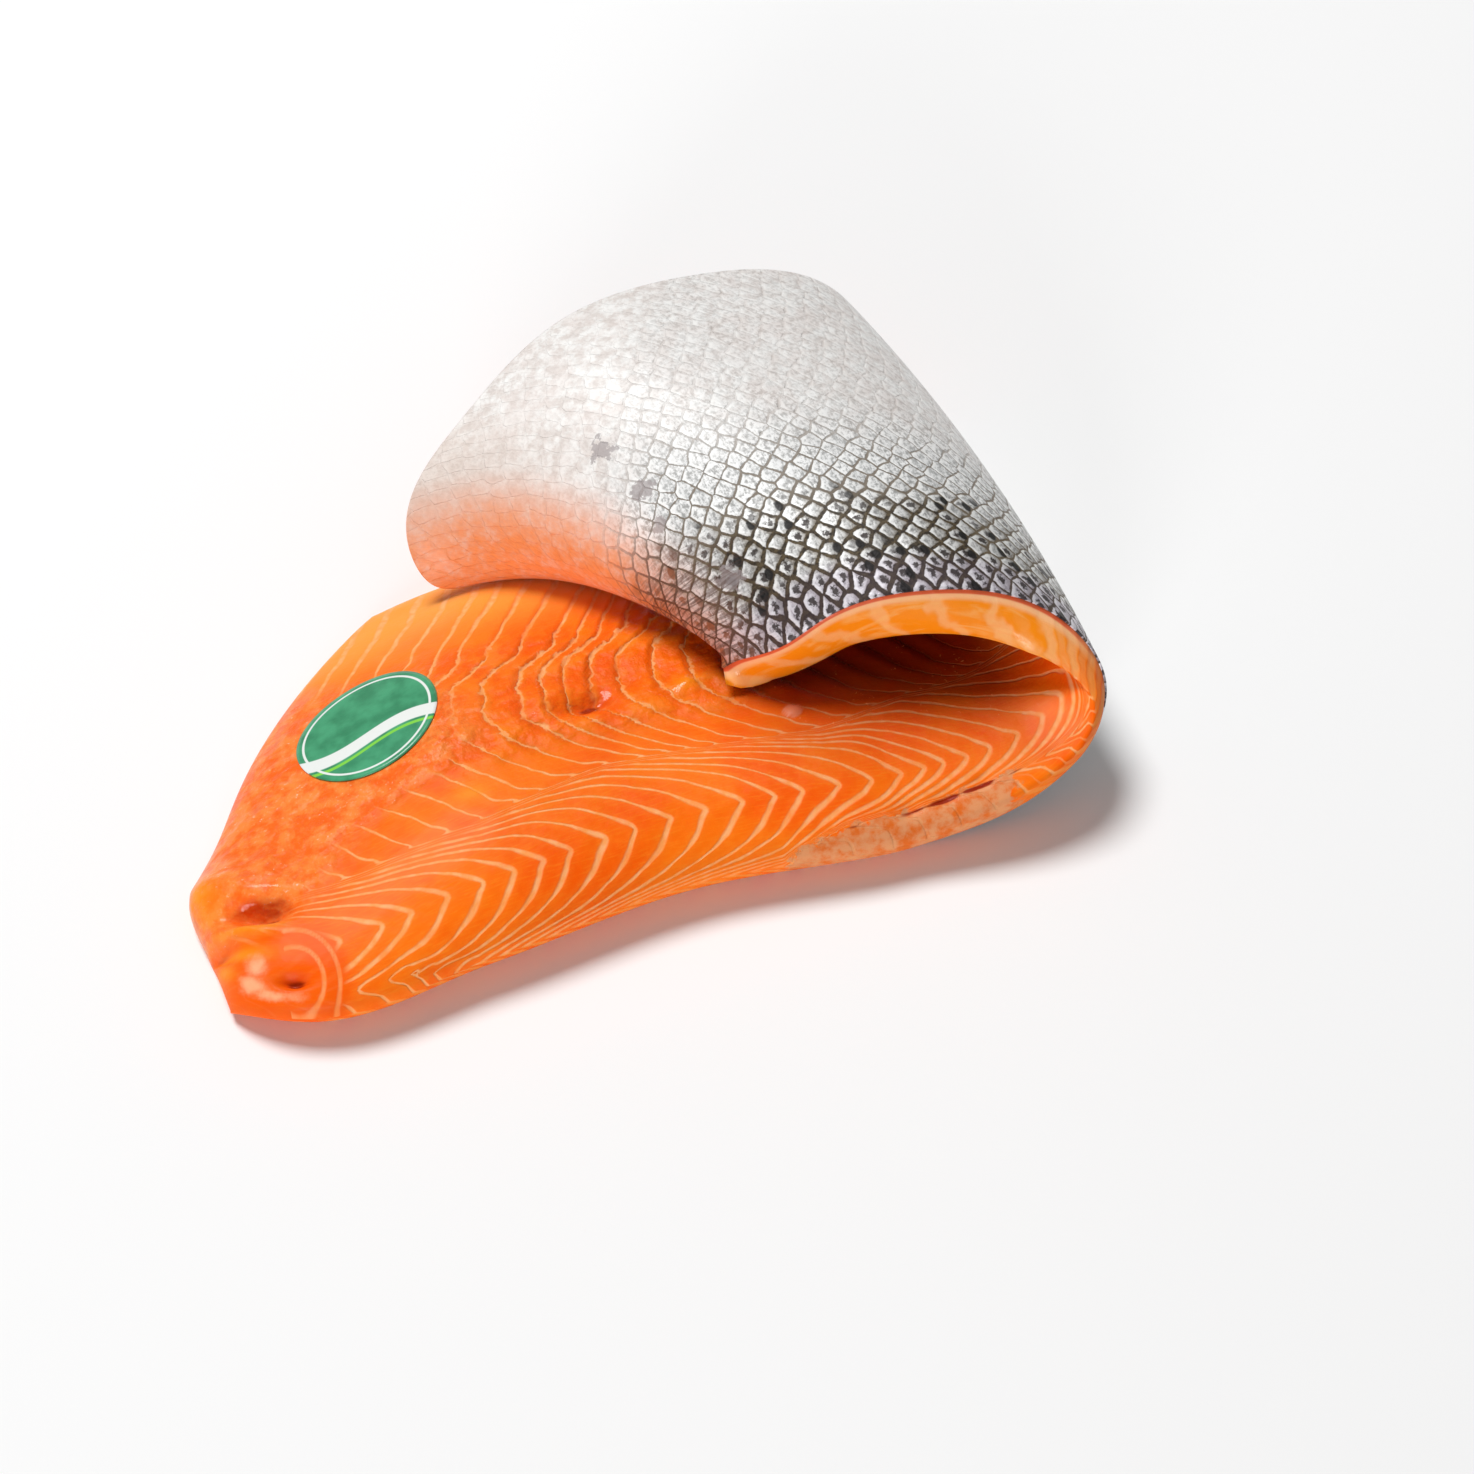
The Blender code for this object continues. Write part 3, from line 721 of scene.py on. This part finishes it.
def skin_finish():
    """Silver skin: shining plates in a dark net, dark spots near the back, paler to the belly."""
    skin = Finish("salmon skin")
    first, second = skin.stored("scale first"), skin.stored("scale second")
    station, inward = skin.stored("station"), skin.stored("inward")
    net, dark, rosy = skin.stored("net"), skin.stored("dark"), skin.stored("rosy")
    faint, bare = skin.stored("faint"), skin.stored("bare")
    place = skin.place()

    # Each scale is a cell of a slightly uneven lattice
    warp = skin.noise(place, 190.0, 2.0) - 0.5
    other = skin.noise(place, 170.0, 2.0, warp=0.3) - 0.5
    spot = skin.vector(first + warp * 0.30, second + other * 0.30)
    lattice = {"Vector": spot, "Scale": 1.0, "Randomness": 0.34}
    flat = {"voronoi_dimensions": "2D"}
    radius = skin.node("TexVoronoi", flat, lattice)
    chances = skin.node("TexVoronoi", flat, lattice, output="Color")
    middle = skin.node("TexVoronoi", flat, lattice, output="Position")
    edge = skin.node("TexVoronoi", {**flat, "feature": "DISTANCE_TO_EDGE"}, lattice)
    offset = skin.node("VectorMath", {"operation": "SUBTRACT"}, {0: spot, 1: middle}, "Vector")
    ahead, aside = skin.split(offset, 0), skin.split(offset, 1)
    chance, second_chance = skin.split(chances, 0), skin.split(chances, 1)
    tailward = ahead + aside

    # Plates between the strands of the net, which are thinner on a scale's tail side
    grain = skin.noise(place, 1500.0, 2.0, 0.6)
    mottle = skin.noise(place, 620.0, 4.0, 0.7)
    streaks = skin.noise(skin.vector(station * 1300.0, inward * 240.0), 1.0, 3.0, 0.6)
    clouds = skin.noise(place, 60.0, 4.0, 0.6)
    edge = edge + (grain - 0.5) * 0.05 + (mottle - 0.5) * 0.11
    edge = edge - (clouds - 0.5) * 0.14
    strand = net * (1.35 - tailward.between(-0.15, 0.30) * 0.95)
    plate = edge.between(strand, strand + 0.055)

    # Silver: head side darker by pigment and painted shade, a bright rim, some dark middles
    shine = mottle * 0.65 + streaks * 0.35
    silver = skin.mix(shine.between(0.40, 0.57), paint(156, 156, 154), paint(248, 248, 247))
    silver = skin.mix(chance * 0.30, silver, paint(196, 198, 198))
    silver = skin.mix(tailward.between(0.10, -0.60) * dark * 0.50, silver, paint(112, 104, 92))
    # A brown tint and painted shade near the net round each plate
    shaded = edge.between(strand + 0.20, strand)
    silver = skin.mix(shaded * dark * 0.48, silver, paint(132, 116, 92))
    # Painted shade near the skin's front edge, short of the tail end
    shade = inward.between(0.070, 0.030) * station.between(0.475, 0.440) * dark
    silver = skin.mix(shade * 0.26, silver, paint(96, 88, 80))
    rim = edge.between(strand + 0.26, strand + 0.13) * tailward.between(0.10, 0.40)
    silver = skin.mix(rim * 0.85, silver, paint(250, 250, 248))
    lilac = inward.between(0.024, 0.010) * dark
    silver = skin.mix(lilac * 0.35, silver, paint(206, 192, 216))
    core = (radius + (mottle - 0.5) * 0.9).between(0.28, 0.16)
    pigment = core * (second_chance + lilac * 0.7).between(0.50, 0.75) * dark
    silver = skin.mix(pigment * 0.9, silver, paint(48, 38, 34))

    # The net, and black spots that fill a few scales
    strands = skin.mix(mottle.between(0.35, 0.65), paint(42, 34, 26), paint(92, 78, 54))
    strands = skin.mix(net.between(0.085, 0.055) * 0.75, strands, paint(118, 106, 88))
    strands = skin.mix(lilac * 0.6, strands, paint(60, 46, 50))
    strands = skin.mix(1 - dark, strands, paint(134, 124, 112))
    colour = skin.mix((1 - plate) * (1 - faint), silver, strands)
    blot = ((tailward + 0.50) ** 2 + (ahead - aside) ** 2 * 0.6) - (mottle - 0.5) * 0.25
    blot = blot.between(0.20, 0.08) * chance.between(0.84, 0.88) * dark.between(0.15, 0.5)
    colour = skin.mix(blot * 0.94, colour, paint(20, 18, 18))

    # The soft belly, bare spots, the rosy skin by the tuck and its wrinkles
    soft = skin.noise(place, 210.0, 4.0, 0.65)
    pinkish = skin.mix(soft.between(0.36, 0.62), paint(218, 208, 202), paint(244, 242, 239))
    pinkish = skin.mix(clouds.between(0.45, 0.65) * 0.4, pinkish, paint(228, 214, 208))
    pinkish = skin.mix(station.between(0.470, 0.520) * 0.75, pinkish, paint(216, 194, 180))
    colour = skin.mix(faint * 0.85, colour, pinkish)
    scar = (bare + (soft - 0.5) * 2.2).between(0.50, 0.62) * bare.between(0.15, 0.30)
    colour = skin.mix(scar * 0.75, colour, paint(158, 148, 148))
    # The rosy skin turns darker towards the front edge, where it curls under: painted shade
    flush = skin.mix(inward.between(0.040, 0.085), paint(176, 108, 72), paint(252, 154, 90))
    flush = skin.mix(soft.between(0.5, 0.7) * 0.35, flush, paint(255, 206, 178))
    flush = skin.mix(streaks.between(0.40, 0.62) * 0.30, flush, paint(226, 116, 66))
    flush = skin.mix((1 - plate) * (1 - faint) * 0.85, flush, paint(88, 48, 34))
    colour = skin.mix(rosy * (0.92 - (soft - 0.5) * 0.8), colour, flush)
    # Painted shade in the creases of the wrinkles by the tuck
    wrinkles = skin.noise(skin.vector(station * 90.0, inward * 620.0), 1.0, 3.0, 0.6, 0.4)
    creased = station.between(0.440, 0.468) * inward.between(0.080, 0.040)
    colour = skin.mix(wrinkles.between(0.46, 0.58) * creased * 0.70, colour, paint(92, 64, 52))

    height = tailward * 0.50 * plate + plate * 0.40 + mottle * 0.45 \
        + (chance - 0.5) * tailward * 0.8 * dark
    normal = skin.bump(height * (1 - faint * 0.55), 0.0006)
    return skin.surface(Base_Color=colour, Roughness=0.42 + (1 - plate) * 0.12,
                        Metallic=(1 - rosy) * plate * dark * 0.30, Specular_IOR_Level=0.30,
                        Coat_Weight=0.08, Coat_Roughness=0.20, Normal=normal)


def label_finish():
    """A printed paper label: a green ground, a white wave, a light green line and a ring."""
    label = Finish("label print")
    x, y, radius = label.stored("label x"), label.stored("label y"), label.stored("label radius")
    place = label.place()
    ground = label.mix(label.noise(place, 120.0, 3.0).between(0.35, 0.7),
                       paint(70, 164, 118), paint(46, 134, 92))
    above_wave = y + 0.30 - (x * 2.6).maths("SINE") * 0.14
    colour = label.mix(abs(above_wave).between(0.125, 0.105), ground, paint(236, 240, 236))
    crest = abs(above_wave + 0.19)
    colour = label.mix(crest.between(0.035, 0.020), colour, paint(130, 214, 70))
    rim = abs(radius - 0.90)
    colour = label.mix(rim.between(0.022, 0.012), colour, paint(236, 240, 236))
    normal = label.bump(label.noise(place, 900.0, 2.0), 0.00005)
    return label.surface(Base_Color=colour, Roughness=0.32, Coat_Weight=0.15,
                         Coat_Roughness=0.2, Normal=normal)


def line_spacing(points, numbers):
    """How far apart the lines lie, from how fast their number changes over a grid."""
    down, aside = np.gradient(points, axis=0), np.gradient(points, axis=1)
    by_down, by_aside = np.gradient(numbers, axis=0), np.gradient(numbers, axis=1)
    long, lean, wide = ((a * b).sum(-1) for a, b in ((down, down), (down, aside), (aside, aside)))
    slope = (wide * by_down ** 2 - 2 * lean * by_down * by_aside + long * by_aside ** 2) \
        / np.maximum(long * wide - lean * lean, 1e-18)
    return 1 / np.sqrt(np.maximum(slope, 1))


def flesh_values(station, share, under, points):
    """What the flesh's finish reads, besides the lines."""
    x, y = points[..., 0], points[..., 1]
    front_edge = np.interp(x, list(FRONT_EDGE), list(FRONT_EDGE.values()))
    beside_seam = (share - edge_seam(station)) * LOIN_WIDTH
    reach = np.interp(share, list(MEMBRANE), list(MEMBRANE.values()))
    from_hole = np.hypot(station - CORNER_HOLE[0], (share - CORNER_HOLE[1]) * HEAD_WIDTH)
    rings = np.min([abs(from_hole - radius) for radius in RINGS], axis=0)
    membrane = ease(-0.012, 0.012, reach - station)
    corner = (1 - ease(0.020, 0.026, station)) * (1 - ease(0.10, 0.13, share))
    near_hole = 1 - ease(0.0125, 0.0160, from_hole)
    fat = np.minimum.reduce([-beside_seam, (station - 0.184) * 0.5, (0.268 - station) * 0.25,
                             under - 0.008])
    slits = [wide * np.sqrt(np.maximum(1 - ((station - at) / long) ** 2, 0))
             for at, long, wide in SLITS]
    slits.append(CRACK * ease(0.203, 0.210, station) * (1 - ease(0.262, 0.275, station)))
    fold = 0.320 + 0.4 * np.maximum(share, 0)
    return {
        "station": station,
        "under": under,
        "bare": np.maximum.reduce([membrane, corner, near_hole]),
        "membrane": membrane * (1 - corner),
        "fat": fat,
        "cut": 1 - ease(-0.015, 0.004, share),
        "band": ease(0, 0.03, station - fold) * (1 - ease(0, 0.03, share)),
        "ragged": ease(0.060, 0.090, station) * (1 - ease(0.185, 0.215, station))
        * ease(0.27, 0.36, share) * (1 - ease(0.62, 0.72, share)),
        "pale": ease(0.62, 0.90, share) * (1 - ease(0.25, 0.30, station)),
        "between": ease(0.262, 0.285, station) * (1 - ease(0.345, 0.375, station))
        * (1 - ease(-0.001, 0.001, beside_seam)),
        "slit": np.max(slits, axis=0) - abs(beside_seam + 0.0006)
        - 0.003 * (1 - ease(0.198, 0.206, station)),
        "ring": rings + 0.02 * ease(0.0235, 0.0200, station),
        "yellow": patches(YELLOW, station, share),
        "peach": patches(PEACH, station, share),
        # Painted shade in the hollows
        "hole": patches(SHADED_HOLES, station, share),
        "drop": ease(0.30, 0.42, patches(DROPS, station, share)),
        "tip": ease(0.030, 0.050, share) * (1 - ease(0.100, 0.130, share)),
        # Where painted shade darkens the inside of the fold
        "deep": ease(-0.060, 0.018, y - front_edge) * (1 - ease(0.135, 0.175, y))
        * ease(0.165, 0.205, x) * (1 - ease(0.262, 0.290, x)) * ease(0, 0.03, share),
    }


def build_flesh(fillet):
    length = float(fillet.length.mean())
    runs, shares = rows_to(length, FLESH_ROWS), rows_to(1, FLESH_COLUMNS)
    run, share = np.meshgrid(runs, shares, indexing="ij")
    front = fillet.flesh(run, share)
    values = fillet.read(run, share)
    border = border_of(*front.shape[:2])
    rim_run = np.array([runs[i] for i, j in border])
    rim_share = np.array([shares[j] for i, j in border])
    rim = np.array([front[i, j] for i, j in border])
    foot = fillet.skin(rim_run, rim_share, FLESH_FOOT)
    tall = np.linalg.norm(rim - foot, axis=-1)
    rim_values = fillet.read(rim_run, rim_share)
    outward = -rim_values[:, 6:9] * (rim_share < 0.5)[:, None]
    ends = ((rim_run > 0) & (rim_run < 1))[:, None]
    levels = np.arange(1, WALL_LEVELS + 1)[:, None] / WALL_LEVELS
    level = levels[..., None]
    walls = rim + (foot - rim) * level + outward * ends * WALL_BULGE * 4 * level * (1 - level)
    grid = Grid(front, walls, fillet.skin(run, share, FLESH_FOOT))

    def whole(on_front, on_walls):
        """Values at every point: the front's, the walls' and none on the hidden back."""
        joined = np.concatenate([on_front.ravel(), on_walls.ravel()])
        return np.pad(joined, (0, len(grid.points) - len(joined)))

    wall_station = np.tile(rim_values[:, 10], (WALL_LEVELS, 1))
    wall_share = np.where(rim_share == 0, -levels * WALL_SHARE, rim_share)
    front_under = np.full(share.shape, AWAY_FROM_EDGE)
    for (i, j), high in zip(border, tall):
        front_under[i, j] = high
    table = {key: whole(on_front, on_walls) for (key, on_front), on_walls in zip(
        flesh_values(values[..., 10], share, front_under, front).items(),
        flesh_values(wall_station, wall_share, (1 - levels) * tall, walls).values())}
    numbers = line_number(values[..., 10], share)
    wall_numbers = line_number(wall_station, wall_share)
    table["line number"] = whole(numbers, wall_numbers)
    table["line spacing"] = whole(line_spacing(front, numbers),
                                  line_spacing(walls, wall_numbers))
    table["inward"] = whole(values[..., 11], np.where(rim_share == 0, -levels * tall,
                                                      rim_values[:, 11]))
    add_piece("salmon_flesh", grid.points, grid.faces, table, flesh_finish(), "fillet")


def build_skin(fillet):
    length = float(fillet.length.mean())
    run, share = np.meshgrid(rows_to(length, SKIN_ROWS), rows_to(1, SKIN_COLUMNS)[::-1],
                             indexing="ij")
    front = fillet.skin(run, share)
    values = fillet.read(run, share)
    back = fillet.skin(run, share, SKIN_THICK)
    border = border_of(*front.shape[:2])
    walls = np.array([back[i, j] for i, j in border])[None]
    grid = Grid(front, walls, back)

    def whole(on_front):
        on_walls = np.array([on_front[i, j] for i, j in border])
        joined = np.concatenate([on_front.ravel(), on_walls])
        return np.pad(joined, (0, len(grid.points) - len(joined)))

    station, inward = values[..., 10], values[..., 11]
    to_back = 1 - ease(0.045, 0.085, inward)
    crest = ease(0.355, 0.390, station) * (1 - ease(0.440, 0.475, station))
    blush = np.interp(share, list(BLUSH), list(BLUSH.values()))
    table = {
        "scale first": station / SCALE_ALONG + inward / SCALE_ACROSS,
        "scale second": station / SCALE_ALONG - inward / SCALE_ACROSS,
        "station": station,
        "inward": inward,
        "net": 0.030 + to_back * (0.015 + 0.055 * crest),
        "dark": to_back,
        "rosy": ease(-0.006, 0.030, station - blush),
        "faint": np.maximum(0.70 * ease(0.085, 0.150, inward),
                            ease(0.482, 0.530, station + (inward - 0.050) * 0.60)),
        "bare": patches(BARE_SKIN, station, share),
    }
    table = {key: whole(value) for key, value in table.items()}
    add_piece("salmon_skin", grid.points, grid.faces, table, skin_finish(), "fillet")


def build_label(fillet):
    """A thin round sticker that follows the flesh."""
    at, share = LABEL_AT
    column = int(round(share * (GRID[1] - 1)))
    run = (at - fillet.layers[0, column, 0]) / fillet.length[column]
    step = 1e-3
    centre, ahead, aside = (fillet.flesh(np.array(run + a), np.array(share + b))
                            for a, b in ((0, 0), (step, 0), (0, step)))
    slopes = np.stack([(ahead - centre) / step, (aside - centre) / step])
    normal = unit(np.cross(*slopes))
    flat = unit(slopes[0])
    side = np.cross(normal, flat)
    to_run_share = np.linalg.inv(slopes @ np.stack([flat, side]).T)
    turns = np.arange(LABEL_SIDES) * 2 * math.pi / LABEL_SIDES
    parts = np.linspace(0, 1, LABEL_RINGS + 1)[1:]
    discs, spots = [], []
    for height in (LABEL_LIFT, LABEL_LIFT + LABEL_THICK):
        radius, turn = np.meshgrid(parts, turns, indexing="ij")
        x = np.concatenate([[0], (radius * np.cos(turn)).ravel()])
        y = np.concatenate([[0], (radius * np.sin(turn)).ravel()])
        offset = LABEL_RADIUS * np.stack([x, y], axis=-1) @ to_run_share
        discs.append(fillet.flesh(run + offset[:, 0], share + offset[:, 1]) + normal * height)
        spots.append(np.stack([x, y], axis=-1))
    faces = []
    count = len(discs[0])
    for base, turned in ((0, True), (count, False)):
        ring = base + 1 + np.arange(LABEL_SIDES)
        fan = [(base, int(a), int(b)) for a, b in zip(ring, np.roll(ring, -1))]
        cells = []
        for number in range(LABEL_RINGS - 1):
            inner = base + 1 + number * LABEL_SIDES + np.arange(LABEL_SIDES)
            outer = inner + LABEL_SIDES
            cells += list(zip(inner.tolist(), outer.tolist(), np.roll(outer, -1).tolist(),
                              np.roll(inner, -1).tolist()))
        faces += [face[::-1] if turned else face for face in fan + cells]
    low = 1 + (LABEL_RINGS - 1) * LABEL_SIDES + np.arange(LABEL_SIDES)
    high = low + count
    faces += list(zip(low.tolist(), np.roll(low, -1).tolist(), np.roll(high, -1).tolist(),
                      high.tolist()))
    spot = np.concatenate(spots)
    table = {"label x": spot[:, 0], "label y": spot[:, 1],
             "label radius": np.hypot(spot[:, 0], spot[:, 1])}
    add_piece("label_disc", np.concatenate(discs), faces, table, label_finish(), "label")


def build_stage():
    """A pale floor, soft lights and the camera."""
    mesh = bpy.data.meshes.new("floor")
    corners = [(x * FLOOR_HALF, y * FLOOR_HALF, 0) for x, y in ((-1, -1), (1, -1), (1, 1), (-1, 1))]
    mesh.from_pydata(corners, [], [(0, 1, 2, 3)])
    pale = Finish("pale floor")
    mesh.materials.append(pale.surface(Base_Color=(0.93, 0.93, 0.93, 1), Roughness=0.8))
    floor = bpy.data.objects.new("floor", mesh)
    bpy.context.scene.collection.objects.link(floor)

    world = bpy.data.worlds.new("studio")
    bpy.context.scene.world = world
    world.use_nodes = True
    background = world.node_tree.nodes["Background"]
    background.inputs["Color"].default_value = (1, 1, 1, 1)
    background.inputs["Strength"].default_value = AMBIENT

    for name, (spot, aim, size, power) in LAMPS.items():
        lamp = bpy.data.lights.new(name, "AREA")
        lamp.shape = "DISK"
        lamp.size = size
        lamp.energy = power
        holder = bpy.data.objects.new(name, lamp)
        bpy.context.scene.collection.objects.link(holder)
        way = np.array(aim) - np.array(spot)
        holder.location = spot
        turn = math.atan2(way[1], way[0]) - math.pi / 2
        tilt = math.acos(-way[2] / np.linalg.norm(way))
        holder.rotation_euler = (tilt, 0, turn)

    camera = bpy.data.cameras.new("camera")
    camera.lens = CAMERA_LENS
    camera.sensor_width = 36
    camera.clip_start = 0.01
    holder = bpy.data.objects.new("camera", camera)
    holder.location = CAMERA_AT
    holder.rotation_euler = [math.radians(turn) for turn in CAMERA_TURN]
    bpy.context.scene.collection.objects.link(holder)
    bpy.context.scene.camera = holder
    bpy.context.scene.view_settings.view_transform = "Standard"


fillet = Fillet()
build_flesh(fillet)
build_skin(fillet)
build_label(fillet)
build_stage()
